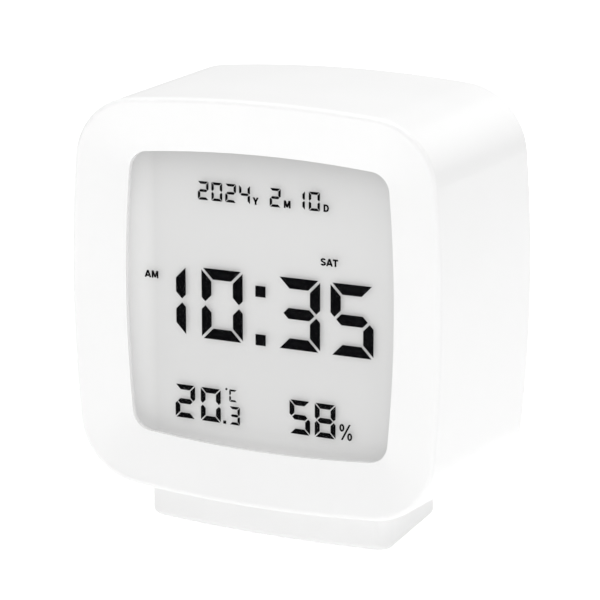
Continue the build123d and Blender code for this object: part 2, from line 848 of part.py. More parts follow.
def battery_door():
    plate = Pos(0, bay_row) * Rectangle(2 * door_half_width(), 2 * door_half_height())
    plate = fillet(plate.vertices(), lip_thickness)
    front = cover_rear - door_thickness
    door = slab(plate, front, cover_rear)
    hinge_rise = bay_row - door_half_height()
    tab_rear = cover_rear - lip_thickness - running_gap
    for x in tab_places():
        half = door_tab_width / 2
        door += block(x - half, x + half, tab_rear - door_tab_thickness, tab_rear,
                      z_at(hinge_rise - door_tab_length), z_at(hinge_rise + door_tab_length))
    grip_high = bay_row + door_half_height() - door_tab_length
    for step in range(door_groove_count):
        low = z_at(grip_high - step * door_groove_pitch)
        door -= block(-door_notch_radius, door_notch_radius, cover_rear - door_groove_depth,
                      cover_rear + overrun, low, low + door_groove_width)
    return door


def cell_rises():
    return [bay_row - cell_pitch / 2, bay_row + cell_pitch / 2]


def cell_depth():
    return bay_floor_depth + cell_radius + seat_gap


def cell_shift():
    # Each cell is pushed by its spring until its nub touches the plate.
    return bay_half_width - terminal_thickness - cell_length / 2


def battery_cells():
    # The two cells lie opposite ways round, as the bay joins them in series.
    cells = []
    for rise, side in zip(cell_rises(), (-1, 1)):
        can = Rot(0, 90, 0) * Cylinder(cell_radius, cell_length - cell_nub_length)
        can = Pos(-side * cell_nub_length / 2, 0, 0) * fillet(can.edges(), cell_radius / 8)
        nub_x = side * (cell_length - cell_nub_length) / 2
        nub = Pos(nub_x, 0, 0) * Rot(0, 90, 0) * Cylinder(cell_nub_radius, cell_nub_length)
        place = Pos(side * cell_shift(), y_at(cell_depth()), z_at(rise))
        cells.append((place * (can + nub)).solid())
    return Compound(children=cells)


def terminal_tab_front():
    return bay_floor_depth - bay_wall - terminal_tab_length


def battery_terminals():
    # The flat plates at the two ends of the bay; one joins both cells.
    solids = []
    half = cell_radius - lip_thickness
    front, rear = cell_depth() - half, cell_depth() + half
    inner = bay_half_width - terminal_thickness
    low, high = cell_rises()[0] - half, cell_rises()[1] + half
    solids.append(block(-bay_half_width, -inner, front, rear, z_at(low), z_at(high)).solid())
    for rise in cell_rises():
        plate = block(inner, bay_half_width, front, rear, z_at(rise - half), z_at(rise + half))
        reach = terminal_tab_width / 2
        tab = block(inner, bay_half_width, terminal_tab_front(), front, z_at(rise - reach),
                    z_at(rise + reach))
        solids.append((plate + tab).solid())
    return Compound(children=solids)


def biarc(p0, t0, p1, t1):
    # Two tangent arcs between two points with given directions.
    v = p1 - p0
    t = t0 + t1
    a = 2 - 2 * t0.dot(t1)
    b = 2 * v.dot(t)
    c = -v.dot(v)
    d = (-b + math.sqrt(b * b - 4 * a * c)) / (2 * a)
    q0, q1 = p0 + t0 * d, p1 - t1 * d
    joint = (q0 + q1) * 0.5
    middle = (q1 - q0).normalized()
    return [Edge.make_tangent_arc(p0, t0, joint), Edge.make_tangent_arc(joint, middle, p1)]


def coil(radius, wire, length, turns):
    # A round wire wound about Z from height 0 to the given length, on biarcs of a quarter turn.
    rise = length - wire
    steps = turns * 4
    points, tangents = [], []
    for i in range(steps + 1):
        angle = math.tau * i / 4
        points.append(Vector(radius * math.cos(angle), radius * math.sin(angle), wire / 2 + rise * i / steps))
        climb = rise / steps / (math.tau / 4)
        tangents.append(Vector(-radius * math.sin(angle), radius * math.cos(angle), climb).normalized())
    edges = []
    for i in range(steps):
        edges += biarc(points[i], tangents[i], points[i + 1], tangents[i + 1])
    path = Wire(edges)
    section = Plane(origin=points[0], z_dir=tangents[0]) * Circle(wire / 2)
    spring = sweep(section, path=path)
    print("coil gap between turns", round(rise / turns - wire, 2))
    return spring.solid()


def pedestal_springs():
    spring = coil(spring_radius, spring_wire, ceiling_under - cup_seat, spring_turns)
    return Compound(children=[Pos(side * post_x, y_at(post_depth), cup_seat) * spring for side in (-1, 1)])


def contact_springs():
    # Each spring presses on the flat end of its cell.
    spring = coil(contact_radius, contact_wire, 2 * cell_shift(), contact_turns)
    solids = []
    for rise, side in zip(cell_rises(), (-1, 1)):
        turned = Rot(0, side * 90, 0) * spring
        start = -side * (bay_half_width - terminal_thickness)
        solids.append(Pos(start, y_at(cell_depth()), z_at(rise)) * turned)
    return Compound(children=solids)


def key_board():
    board = Pos(0, key_row) * rounded(key_board_width, key_board_height, lip_thickness)
    for side in (-1, 1):
        board -= Pos(side * key_board_boss_x, key_row) * Circle(display_screw_radius + seat_gap)
    return slab(board, key_board_front, key_board_rear)


def key_board_screws():
    screws = []
    for side in (-1, 1):
        x = side * key_board_boss_x
        head = rod_y(x, key_row, display_screw_head, key_board_front - display_screw_head_height,
                     key_board_front)
        shank = rod_y(x, key_row, display_screw_radius, key_board_front, key_board_rear + display_screw_grip)
        screws.append((head + shank).solid())
    return Compound(children=screws)


def key_switches():
    bodies = []
    for index in range(len(key_names)):
        square = Pos(key_x(index), key_row) * Rectangle(switch_size, switch_size)
        body = slab(square, key_board_rear, switch_rear)
        bore = rod_y(key_x(index), key_row, plunger_radius + slip_gap, switch_rear - plunger_stem,
                     switch_rear + overrun)
        bodies.append((body - bore).solid())
    return Compound(children=bodies)


def key_cap(index):
    x = key_x(index)
    cap = rod_y(x, key_row, key_radius, key_flange_rear, cover_rear + key_proud)
    cap = fillet(cap.edges().group_by(Axis.Y)[-1], key_edge_round)
    return cap + rod_y(x, key_row, key_flange_radius, key_flange_front, key_flange_rear)


def key_plunger(index):
    start = switch_rear - plunger_stem + key_travel + running_gap
    return rod_y(key_x(index), key_row, plunger_radius, start, key_flange_front)


def climate_sensor():
    low = key_row + key_board_height / 2 - sensor_size
    face = Pos(0, low + sensor_size / 2 - seat_gap) * Rectangle(sensor_size, sensor_size)
    return slab(face, key_board_rear, key_board_rear + sensor_height)


def buzzer():
    can = rod_y(0, buzzer_row, buzzer_radius, cover_front - buzzer_height, cover_front)
    return can - rod_y(0, buzzer_row, sound_hole_radius, cover_front - lip_thickness, cover_front + overrun)


def switch_low():
    return ceiling_top + running_gap


def press_standoff(side):
    x = side * post_x / 2
    high = switch_low() + switch_height
    boss = rod_z(x, post_depth, key_board_boss_radius, ceiling_top - seat_gap, high)
    return boss - rod_z(x, post_depth, display_screw_radius + slip_gap, ceiling_top, high + overrun)


def press_switch():
    low = switch_low()
    half = switch_size / 2
    body = block(-half, half, post_depth - half, post_depth + half, low, low + switch_height)
    return body - rod_z(0, post_depth, plunger_radius + slip_gap, low - overrun,
                        low + plunger_stem + press_travel)


def press_plunger():
    return rod_z(0, post_depth, plunger_radius, striker_top(), switch_low() + plunger_stem - running_gap)


def striker_top():
    return ceiling_top - press_travel + seat_gap


def press_board():
    low = switch_low() + switch_height
    half_x = post_x / 2 + key_board_boss_radius
    half_y = switch_size / 2 + running_gap
    board = block(-half_x, half_x, post_depth - half_y, post_depth + half_y, low, low + board_thickness)
    for side in (-1, 1):
        board -= rod_z(side * post_x / 2, post_depth, display_screw_radius + seat_gap, low - overrun,
                       low + board_thickness + overrun)
    return board


def press_board_screws():
    screws = []
    seat = switch_low() + switch_height + board_thickness
    for side in (-1, 1):
        x = side * post_x / 2
        head = rod_z(x, post_depth, display_screw_head, seat, seat + display_screw_head_height)
        shank = rod_z(x, post_depth, display_screw_radius, seat - board_thickness - display_screw_grip, seat)
        screws.append((head + shank).solid())
    return Compound(children=screws)


def lead(points, section_face):
    # Straight runs joined by tangent arcs; each point is x, depth and rise.
    route = [Vector(x, y_at(depth), z_at(rise)) for x, depth, rise in points]
    runs = [after - before for before, after in zip(route, route[1:])]
    radii = []
    for before, after in zip(runs, runs[1:]):
        turn = math.radians(before.get_angle(after))
        radii.append(lead_arc_share * min(before.length, after.length) / math.tan(turn / 2))
    print("lead radii", [round(r, 1) for r in radii])
    path = FilletPolyline(*route, radius=radii)
    start = Plane(origin=route[0], x_dir=(1, 0, 0) if abs(runs[0].X) < runs[0].length / 2 else (0, 0, 1),
                  z_dir=runs[0])
    return sweep(start * section_face, path=path).solid()


def wires(routes):
    return Compound(children=[lead(points, Circle(lead_diameter / 2)) for points in routes])


def battery_leads():
    # From the solder tabs of the bay to the right-hand connector.
    return wires([
        [(24.6, 23.3, -22.5), (24.6, 21.0, -22.5), (23.2, 18.3, -19.5), (23.2, 16.0, -19.5)],
        [(24.6, 23.3, -11.3), (24.6, 21.0, -11.3), (22.4, 19.6, -14.6), (20.9, 18.4, -17.2),
         (20.9, 16.0, -17.2)],
    ])


def key_ribbon():
    # A flat ribbon from the key board to the middle connector.
    points = [(0, 31.1, 14.5), (0, 28.4, 14.5), (0, 23.6, 5.0), (0, 20.8, -7.0), (0, 19.2, -18.2),
              (0, 16.0, -18.2)]
    return lead(points, Rectangle(ribbon_width, ribbon_thickness))


def buzzer_leads():
    return wires([
        [(-3.5, 32.6, 4.0), (-3.5, 29.8, 4.0), (-9.5, 26.2, 1.8), (-18.4, 21.2, -5.5), (-23.2, 18.6, -17.0),
         (-23.2, 16.0, -17.0)],
        [(-3.5, 32.6, 1.5), (-3.5, 29.6, 1.5), (-9.0, 25.4, -1.6), (-16.8, 20.2, -9.0), (-21.8, 18.4, -18.2),
         (-21.8, 16.0, -18.2)],
    ])


def press_leads():
    # From the board over the pedestal to the left-hand connector.
    return wires([
        [(-4.0, 17.0, -29.9), (-4.0, 17.0, -27.3), (-10.0, 18.0, -24.6), (-17.0, 19.0, -21.4),
         (-20.6, 18.3, -18.9), (-20.6, 16.0, -18.9)],
        [(-4.0, 19.6, -29.9), (-4.0, 19.6, -27.1), (-10.6, 20.2, -25.2), (-18.4, 20.2, -22.2),
         (-21.9, 18.5, -19.6), (-21.9, 16.0, -19.6)],
    ])


def cover_screw_x():
    return post_x * cover_screw_share


def pedestal():
    block_out = extrude(pedestal_plan(0, pedestal_base), amount=pedestal_height)
    block_out = fillet(block_out.edges().group_by(Axis.Z)[0], pedestal_edge_round)
    block_out = fillet(block_out.edges().group_by(Axis.Z)[-1], pedestal_top_round)
    hollow_high = pedestal_roof - pedestal_top
    hollow = extrude(pedestal_plan(-pedestal_wall, pedestal_base - overrun),
                     amount=hollow_high - pedestal_base + overrun)
    foot = block_out - hollow
    for side in (-1, 1):
        x = side * post_x
        foot += rod_z(x, post_depth, cup_radius + cup_wall, cup_base, hollow_high + seat_gap)
        foot -= rod_z(x, post_depth, cup_radius, cup_seat, pedestal_roof + overrun)
        foot += rod_z(x, post_depth, post_radius, cup_base + seat_gap, post_top)
        foot -= rod_z(x, post_depth, case_screw_radius + slip_gap, post_top - washer_screw_length(),
                      post_top + overrun)
        boss_x = side * cover_screw_x()
        foot += rod_z(boss_x, post_depth, key_board_boss_radius, cover_high(), hollow_high + seat_gap)
        foot -= rod_z(boss_x, post_depth, display_screw_radius + slip_gap, cover_high() - overrun,
                      cover_high() + display_screw_grip + seat_gap)
    foot += rod_z(0, post_depth, striker_radius, pedestal_roof - seat_gap, striker_top())
    return foot


def washer_screw_length():
    return cup_radius


def cover_high():
    return foot_pad_thickness + base_plate


def pedestal_cover():
    plate = extrude(pedestal_plan(-pedestal_wall - seat_gap, foot_pad_thickness), amount=base_plate)
    for side in (-1, 1):
        x = side * cover_screw_x()
        plate -= rod_z(x, post_depth, display_screw_radius + seat_gap, foot_pad_thickness - overrun,
                       cover_high() + overrun)
        plate -= rod_z(x, post_depth, display_screw_head + seat_gap, foot_pad_thickness - overrun,
                       foot_pad_thickness + display_screw_head_height)
    return plate


def pedestal_cover_screws():
    screws = []
    for side in (-1, 1):
        x = side * cover_screw_x()
        seat = foot_pad_thickness + display_screw_head_height
        head = rod_z(x, post_depth, display_screw_head, foot_pad_thickness, seat)
        shank = rod_z(x, post_depth, display_screw_radius, seat, cover_high() + display_screw_grip)
        screws.append((head + shank).solid())
    return Compound(children=screws)


def foot_pad():
    return extrude(pedestal_plan(-foot_pad_inset, 0), amount=foot_pad_thickness)


def retaining_washers():
    rings = []
    for side in (-1, 1):
        ring = rod_z(side * post_x, post_depth, washer_radius, post_top, post_top + washer_thickness)
        ring -= rod_z(side * post_x, post_depth, case_screw_radius + seat_gap, post_top - overrun,
                      post_top + washer_thickness + overrun)
        rings.append(ring.solid())
    return Compound(children=rings)


def retaining_screws():
    screws = []
    seat = post_top + washer_thickness
    for side in (-1, 1):
        x = side * post_x
        head = rod_z(x, post_depth, case_screw_head, seat, seat + case_screw_head_height)
        shank = rod_z(x, post_depth, case_screw_radius, post_top - washer_screw_length() + seat_gap, seat)
        screws.append((head + shank).solid())
    return Compound(children=screws)


parts = {
    "front_shell": front_shell,
    "display_window": display_window,
    "window_gasket": window_gasket,
    "lcd_front_polariser": front_polariser,
    "lcd_front_glass": front_glass,
    "lcd_seal": cell_seal,
    "time_digits": time_digits,
    "date_digits": date_digits,
    "reading_digits": reading_digits,
    "display_legends": display_legends,
    "lcd_rear_glass": rear_glass,
    "lcd_reflector": reflector,
    "light_guide": light_guide,
    "light_guide_sheet": guide_sheet,
    "lcd_holder": lcd_holder,
    "lcd_contact_strips": contact_strips,
    "backlight_leds": backlight_leds,
    "main_board": main_board,
    "display_screws": display_screws,
    "controller_blob": controller_blob,
    "crystal_can": crystal_can,
    "board_components": board_components,
    "board_connectors": board_connectors,
    "back_cover": back_cover,
    "case_screws": case_screws,
    "battery_door": battery_door,
    "battery_cells": battery_cells,
    "battery_terminals": battery_terminals,
    "battery_contact_springs": contact_springs,
    "key_board": key_board,
    "key_board_screws": key_board_screws,
    "key_switches": key_switches,
    "climate_sensor": climate_sensor,
    "buzzer": buzzer,
    "press_switch": press_switch,
    "press_board": press_board,
    "press_board_screws": press_board_screws,
    "press_plunger": press_plunger,
    "battery_leads": battery_leads,
    "key_ribbon": key_ribbon,
    "buzzer_leads": buzzer_leads,
    "press_leads": press_leads,
    "pedestal": pedestal,
    "pedestal_cover": pedestal_cover,
    "pedestal_cover_screws": pedestal_cover_screws,
    "foot_pad": foot_pad,
    "pedestal_springs": pedestal_springs,
    "retaining_washers": retaining_washers,
    "retaining_screws": retaining_screws,
}
for place, name in enumerate(key_names):
    parts[name + "_key"] = lambda index=place: key_cap(index)
    parts[name + "_key_plunger"] = lambda index=place: key_plunger(index)

os.makedirs("parts", exist_ok=True)
for name, make in parts.items():
    export_step(make(), f"parts/{name}.step")
print(len(parts), "nodes written")
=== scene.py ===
# %% [markdown]
# A small white desk clock with a liquid crystal display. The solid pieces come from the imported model, and
# this script gives them their finishes, the marks that are too fine for the solids, light and a camera.
# Every length is in metres and every place is worked out from the pieces themselves.

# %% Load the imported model
import json
import math

import bmesh
import bpy
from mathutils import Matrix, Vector


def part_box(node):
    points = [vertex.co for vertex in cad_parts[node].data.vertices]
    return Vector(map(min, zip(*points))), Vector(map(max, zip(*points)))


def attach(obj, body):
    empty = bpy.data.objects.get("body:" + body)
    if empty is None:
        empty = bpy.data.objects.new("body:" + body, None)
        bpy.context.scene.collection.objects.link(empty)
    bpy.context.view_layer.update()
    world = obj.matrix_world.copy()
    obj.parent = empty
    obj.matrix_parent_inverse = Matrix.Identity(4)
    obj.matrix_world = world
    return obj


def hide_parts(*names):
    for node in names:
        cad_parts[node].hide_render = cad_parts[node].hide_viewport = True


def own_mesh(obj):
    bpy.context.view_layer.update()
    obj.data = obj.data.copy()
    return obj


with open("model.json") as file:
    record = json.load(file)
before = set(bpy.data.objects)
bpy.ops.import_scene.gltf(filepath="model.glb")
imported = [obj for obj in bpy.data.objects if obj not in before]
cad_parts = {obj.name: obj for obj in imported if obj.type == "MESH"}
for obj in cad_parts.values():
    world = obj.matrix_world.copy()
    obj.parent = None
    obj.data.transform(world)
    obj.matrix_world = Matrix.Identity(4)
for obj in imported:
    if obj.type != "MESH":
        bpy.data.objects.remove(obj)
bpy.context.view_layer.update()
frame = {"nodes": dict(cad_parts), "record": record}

nodes = frame["nodes"]
scene = bpy.context.scene

# %% [markdown]
# A product photo of a box this small is taken with a long lens from some way off, so its edges stay nearly
# parallel. The camera is placed by two angles, a distance and the point it looks at, which is easier to
# adjust than a position and three turns.

# %% Camera
camera_yaw = math.radians(27.0694)
camera_pitch = math.radians(13.4199)
camera_distance = 0.472703
camera_lens = 149.96
camera_sensor = 36.0
camera_target = Vector((0.010962, -0.020615, 0.050357))

looking = Vector((
    -math.sin(camera_yaw) * math.cos(camera_pitch),
    math.cos(camera_yaw) * math.cos(camera_pitch),
    -math.sin(camera_pitch),
))
lens = bpy.data.cameras.new("photo_camera")
lens.lens = camera_lens
lens.sensor_width = camera_sensor
camera = bpy.data.objects.new("photo_camera", lens)
camera.location = camera_target - looking * camera_distance
camera.rotation_euler = looking.to_track_quat("-Z", "Y").to_euler()
scene.collection.objects.link(camera)
scene.camera = camera
scene.view_settings.view_transform = "Standard"
print("camera at", [round(v, 4) for v in camera.location])

# %% [markdown]
# Every finish below is a small tree of shader nodes. Placing a node, setting its values and starting a new
# material come back in each of them, so they are written once as helpers, and the trees stay easy to read.

# %% Helpers for shader nodes
def place_node(tree, kind, values=None, **properties):
    node = tree.nodes.new(kind)
    for name, value in properties.items():
        setattr(node, name, value)
    for name, value in (values or {}).items():
        node.inputs[name].default_value = value
    return node


def new_material(name):
    material = bpy.data.materials.new(name)
    material.use_nodes = True
    tree = material.node_tree
    tree.nodes.clear()
    output = place_node(tree, "ShaderNodeOutputMaterial")
    shader = place_node(tree, "ShaderNodeBsdfPrincipled")
    tree.links.new(shader.outputs["BSDF"], output.inputs["Surface"])
    place = place_node(tree, "ShaderNodeTexCoord")
    return material, tree, shader, place


def grey(level):
    return (level, level, level, 1.0)


print("a mid grey is", grey(0.5))

# %% [markdown]
# White on white only works if the light comes from everywhere and the shape is drawn by small differences.
# The room gives even light, soft boxes in front and above model the ring and the top, and a small one behind
# on the right brightens the upper right corner. The photo's floor and background are pure white, which the
# light on the clock alone doesn't give, so the camera is shown a whiter room and floor than light the clock.

# %% Floor, world and soft light
room_level = 0.5
backdrop_level = 1.02
floor_colour = 0.86
floor_glow = 0.4
floor_shown_glow = 0.6
floor_half = 1.2
floor_roughness = 0.9
softboxes = [
    # name, side of the square in metres, watts, place
    ("key_softbox", 0.6, 1.5, Vector((-0.45, -0.75, 0.8))),
    ("low_softbox", 0.8, 1.1, Vector((0.8, -0.8, 0.35))),
    ("high_softbox", 0.6, 1.25, Vector((0.2, -0.6, 1.0))),
    ("top_softbox", 0.6, 5.1, Vector((0.0, 0.1, 1.0))),
    ("back_softbox", 0.48, 0.6, Vector((0.27, 0.87, 0.38))),
]
softbox_target = Vector((0, 0, 0.045))

world = bpy.data.worlds.new("studio")
world.use_nodes = True
sky = world.node_tree
sky.nodes["Background"].inputs["Color"].default_value = grey(1.0)
ray = place_node(sky, "ShaderNodeLightPath")
level = place_node(sky, "ShaderNodeMix", data_type="FLOAT")
level.inputs["A"].default_value = room_level
level.inputs["B"].default_value = backdrop_level
sky.links.new(ray.outputs["Is Camera Ray"], level.inputs["Factor"])
sky.links.new(level.outputs["Result"], sky.nodes["Background"].inputs["Strength"])
scene.world = world

floor_mesh = bpy.data.meshes.new("floor")
floor_mesh.from_pydata(
    [(x * floor_half, y * floor_half, 0.0) for x, y in ((-1, -1), (1, -1), (1, 1), (-1, 1))],
    [], [(0, 1, 2, 3)],
)
floor = bpy.data.objects.new("floor", floor_mesh)
scene.collection.objects.link(floor)
paper, tree, shader, place = new_material("floor_paper")
shader.inputs["Base Color"].default_value = grey(floor_colour)
shader.inputs["Roughness"].default_value = floor_roughness
shader.inputs["Emission Color"].default_value = grey(1.0)
ray = place_node(tree, "ShaderNodeLightPath")
glow = place_node(tree, "ShaderNodeMapRange", {"To Min": floor_glow, "To Max": floor_shown_glow})
tree.links.new(ray.outputs["Is Camera Ray"], glow.inputs["Value"])
tree.links.new(glow.outputs["Result"], shader.inputs["Emission Strength"])
floor_mesh.materials.append(paper)

for name, side, watts, spot in softboxes:
    light = bpy.data.lights.new(name, "AREA")
    light.size = side
    light.energy = watts
    softbox = bpy.data.objects.new(name, light)
    softbox.location = spot
    softbox.rotation_euler = (softbox_target - spot).to_track_quat("-Z", "Y").to_euler()
    scene.collection.objects.link(softbox)
print("lights", [box[0] for box in softboxes])

# %% [markdown]
# Moulded plastic isn't one flat colour. The mould leaves a fine grain, and the resin is a touch lighter or
# darker over a few centimetres. Nearly every plastic here needs that, so it is a node group that takes a
# colour and gives back a colour, a roughness and a height that all change over the surface.

# %% Node groups that several finishes share
def start_group(name, inputs, outputs):
    group = bpy.data.node_groups.new(name, "ShaderNodeTree")
    for socket, kind in inputs:
        group.interface.new_socket(socket, in_out="INPUT", socket_type=kind)
    for socket, kind in outputs:
        group.interface.new_socket(socket, in_out="OUTPUT", socket_type=kind)
    return group, place_node(group, "NodeGroupInput"), place_node(group, "NodeGroupOutput")


VECTOR, COLOUR, NUMBER = "NodeSocketVector", "NodeSocketColor", "NodeSocketFloat"
skin_inputs = [
    ("Vector", VECTOR), ("Colour", COLOUR), ("Tone", NUMBER), ("Roughness", NUMBER), ("Grain", NUMBER),
]
skin_outputs = [("Colour", COLOUR), ("Roughness", NUMBER), ("Height", NUMBER)]


grain_detail, grain_roughness = 3.0, 0.6
noise_middle = 0.5


def surface_group(name, stretch, drift_share, roughness_spread):
    # stretch draws the grain out along one direction, as on drawn metal. drift_share is the scale of the slow
    # change of colour as a share of the grain's, and roughness_spread is how far that takes the roughness.
    group, given, result = start_group(name, skin_inputs, skin_outputs)
    link = group.links.new
    drawn = place_node(group, "ShaderNodeMapping", {"Scale": stretch})
    link(given.outputs["Vector"], drawn.inputs["Vector"])
    fine = place_node(group, "ShaderNodeTexNoise", {"Detail": grain_detail, "Roughness": grain_roughness})
    link(drawn.outputs["Vector"], fine.inputs["Vector"])
    link(given.outputs["Grain"], fine.inputs["Scale"])
    slow_scale = place_node(group, "ShaderNodeMath", operation="MULTIPLY")
    slow_scale.inputs[1].default_value = drift_share
    link(given.outputs["Grain"], slow_scale.inputs[0])
    drift = place_node(group, "ShaderNodeTexNoise", {"Detail": 0.0})
    link(given.outputs["Vector"], drift.inputs["Vector"])
    link(slow_scale.outputs[0], drift.inputs["Scale"])
    centred = place_node(group, "ShaderNodeMath", operation="SUBTRACT")
    centred.inputs[1].default_value = noise_middle
    link(drift.outputs["Fac"], centred.inputs[0])
    tone = place_node(group, "ShaderNodeMath", operation="MULTIPLY_ADD")
    link(centred.outputs[0], tone.inputs[0])
    link(given.outputs["Tone"], tone.inputs[1])
    tone.inputs[2].default_value = 1.0
    tinted = place_node(group, "ShaderNodeVectorMath", operation="SCALE")
    link(given.outputs["Colour"], tinted.inputs[0])
    link(tone.outputs[0], tinted.inputs["Scale"])
    link(tinted.outputs["Vector"], result.inputs["Colour"])
    rough = place_node(group, "ShaderNodeMath", operation="MULTIPLY_ADD")
    rough.inputs[1].default_value = roughness_spread
    link(centred.outputs[0], rough.inputs[0])
    link(given.outputs["Roughness"], rough.inputs[2])
    link(rough.outputs[0], result.inputs["Roughness"])
    link(fine.outputs["Fac"], result.inputs["Height"])
    return group


moulded_skin = surface_group("moulded_skin", stretch=(1.0, 1.0, 1.0), drift_share=0.02, roughness_spread=0.04)
drawn_metal = surface_group("drawn_metal", stretch=(1.0, 1.0, 0.06), drift_share=0.1, roughness_spread=0.25)
print("node groups", [g.name for g in bpy.data.node_groups])


# %% [markdown]
# With the groups in place, a plain finish is one row of a table: which group, a colour, how rough, how fine
# the grain, how much the tone drifts and whether it is metal. The numbers are easier to compare in a table
# than in sixteen trees built by hand. The ink of the digits is the one exception, because it must not shine.

# %% A finish made from a group
def finish_with(group, name, colour, roughness, grain, tone=0.04, depth=0.00002, strength=0.25, metallic=0.0):
    material, tree, shader, place = new_material(name)
    skin = place_node(tree, "ShaderNodeGroup", node_tree=group)
    skin.inputs["Colour"].default_value = (*colour, 1.0)
    skin.inputs["Tone"].default_value = tone
    skin.inputs["Roughness"].default_value = roughness
    skin.inputs["Grain"].default_value = grain
    bump = place_node(tree, "ShaderNodeBump", {"Strength": strength, "Distance": depth})
    link = tree.links.new
    link(place.outputs["Object"], skin.inputs["Vector"])
    link(skin.outputs["Colour"], shader.inputs["Base Color"])
    link(skin.outputs["Roughness"], shader.inputs["Roughness"])
    link(skin.outputs["Height"], bump.inputs["Height"])
    link(bump.outputs["Normal"], shader.inputs["Normal"])
    shader.inputs["Metallic"].default_value = metallic
    return material


finishes = {}
plain_finishes = [
    # name, group, colour, roughness, scale of the grain, change of tone, metallic
    ("white_shell", moulded_skin, (0.885, 0.885, 0.883), 0.3, 3500, 0.02, 0.0),
    ("white_moulding", moulded_skin, (0.88, 0.88, 0.87), 0.5, 2500, 0.04, 0.0),
    ("cell_sealant", moulded_skin, (0.72, 0.72, 0.69), 0.3, 2000, 0.08, 0.0),
    ("display_ink", moulded_skin, (0.002, 0.002, 0.0025), 0.5, 6000, 0.2, 0.0),
    ("white_film", moulded_skin, (0.93, 0.93, 0.93), 0.35, 1500, 0.03, 0.0),
    ("grey_foam", moulded_skin, (0.16, 0.16, 0.16), 0.95, 6000, 0.3, 0.0),
    ("led_body", moulded_skin, (0.93, 0.88, 0.62), 0.25, 1500, 0.05, 0.0),
    ("black_resin", moulded_skin, (0.03, 0.03, 0.03), 0.45, 3000, 0.2, 0.0),
    ("connector_nylon", moulded_skin, (0.82, 0.78, 0.66), 0.5, 2500, 0.05, 0.0),
    ("sensor_case", moulded_skin, (0.05, 0.05, 0.055), 0.3, 3000, 0.1, 0.0),
    ("plunger_nylon", moulded_skin, (0.06, 0.06, 0.06), 0.5, 3000, 0.1, 0.0),
    ("key_plastic", moulded_skin, (0.84, 0.84, 0.835), 0.45, 3500, 0.03, 0.0),
    ("lead_jacket", moulded_skin, (0.5, 0.04, 0.03), 0.35, 2500, 0.1, 0.0),
    ("foot_rubber", moulded_skin, (0.42, 0.42, 0.41), 0.85, 5000, 0.15, 0.0),
    ("screw_steel", drawn_metal, (0.6, 0.6, 0.61), 0.35, 9000, 0.15, 1.0),
    ("plated_steel", drawn_metal, (0.74, 0.72, 0.67), 0.28, 9000, 0.12, 1.0),
]
for name, group, colour, roughness, grain, tone, metallic in plain_finishes:
    finishes[name] = finish_with(group, name, colour, roughness, grain, tone, metallic=metallic)
ink_shader = finishes["display_ink"].node_tree.nodes["Principled BSDF"]
ink_shader.inputs["Specular IOR Level"].default_value = 0.0
print("plain finishes", len(plain_finishes))


# %% [markdown]
# The front window is clear. A clear sheet shows only its reflections, so here the alpha is what the Fresnel
# node says a surface throws back, and what it throws back is a mirror. Light goes straight through the rest.
# Plain acrylic has an index of 1.49, but the photo shows next to no reflection and quite black digits, so a
# far lower index is used, as if the window were coated. The thin glasses and films behind it are bonded
# together in a real display and hardly reflect at all.

# %% Clear layers
coated_index = 1.06
wipe_scale = 400.0
wipe_spread = 1.6


def clear_sheet(name, alpha, roughness, tint):
    material, tree, shader, place = new_material(name)
    wear = place_node(tree, "ShaderNodeTexNoise", {"Scale": wipe_scale, "Detail": 2.0})
    spread = place_node(tree, "ShaderNodeMapRange", {"To Min": roughness, "To Max": roughness * wipe_spread})
    link = tree.links.new
    link(place.outputs["Object"], wear.inputs["Vector"])
    link(wear.outputs["Fac"], spread.inputs["Value"])
    link(spread.outputs["Result"], shader.inputs["Roughness"])
    shader.inputs["Base Color"].default_value = (*tint, 1.0)
    shader.inputs["Metallic"].default_value = 1.0
    if alpha is None:
        fresnel = place_node(tree, "ShaderNodeFresnel", {"IOR": coated_index})
        link(fresnel.outputs["Fac"], shader.inputs["Alpha"])
    else:
        shader.inputs["Alpha"].default_value = alpha
    return material


clear_sheets = {
    # alpha (None takes it from the Fresnel node), roughness, tint of what it reflects
    "clear_window": (None, 0.03, (1.0, 1.0, 1.0)),
    "display_glass": (0.0005, 0.05, (0.96, 1.0, 0.98)),
    "polariser_film": (0.001, 0.15, (0.8, 0.8, 0.8)),
}
for name, (alpha, roughness, tint) in clear_sheets.items():
    finishes[name] = clear_sheet(name, alpha, roughness, tint)
print("clear layers", list(clear_sheets))

# %% [markdown]
# The film behind the digits is what looks grey. It is meant to look even, a little darker to the top and
# bottom.
# Here the deep ring shades its edges more than that, so the film carries painted shade and light: a ramp up
# the film paints it darker to its top and lighter to its bottom, and two slopes at its sides are painted
# light that makes up for the shade. Part of its brightness is a painted glow, because with reflected light
# alone the shadows of the digits on it are too dark.

# %% Reflector film
film_low, film_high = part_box("lcd_reflector")
# Painted shade and light: the ramp makes the film darker to its top and lighter to its bottom.
film_shade_and_light_stops = [
    (0.0, 0.52), (0.03, 0.46), (0.07, 0.4), (0.19, 0.405),
    (0.4, 0.4), (0.72, 0.425), (0.9, 0.395), (1.0, 0.335),
]
film_blue = 0.995
# Strength of the painted glow that lightens the digits' shadows on the film.
film_painted_glow = 0.76
film_roughness = 0.7
pearl_grain, pearl_strength, pearl_depth = 9000.0, 0.1, 0.00001
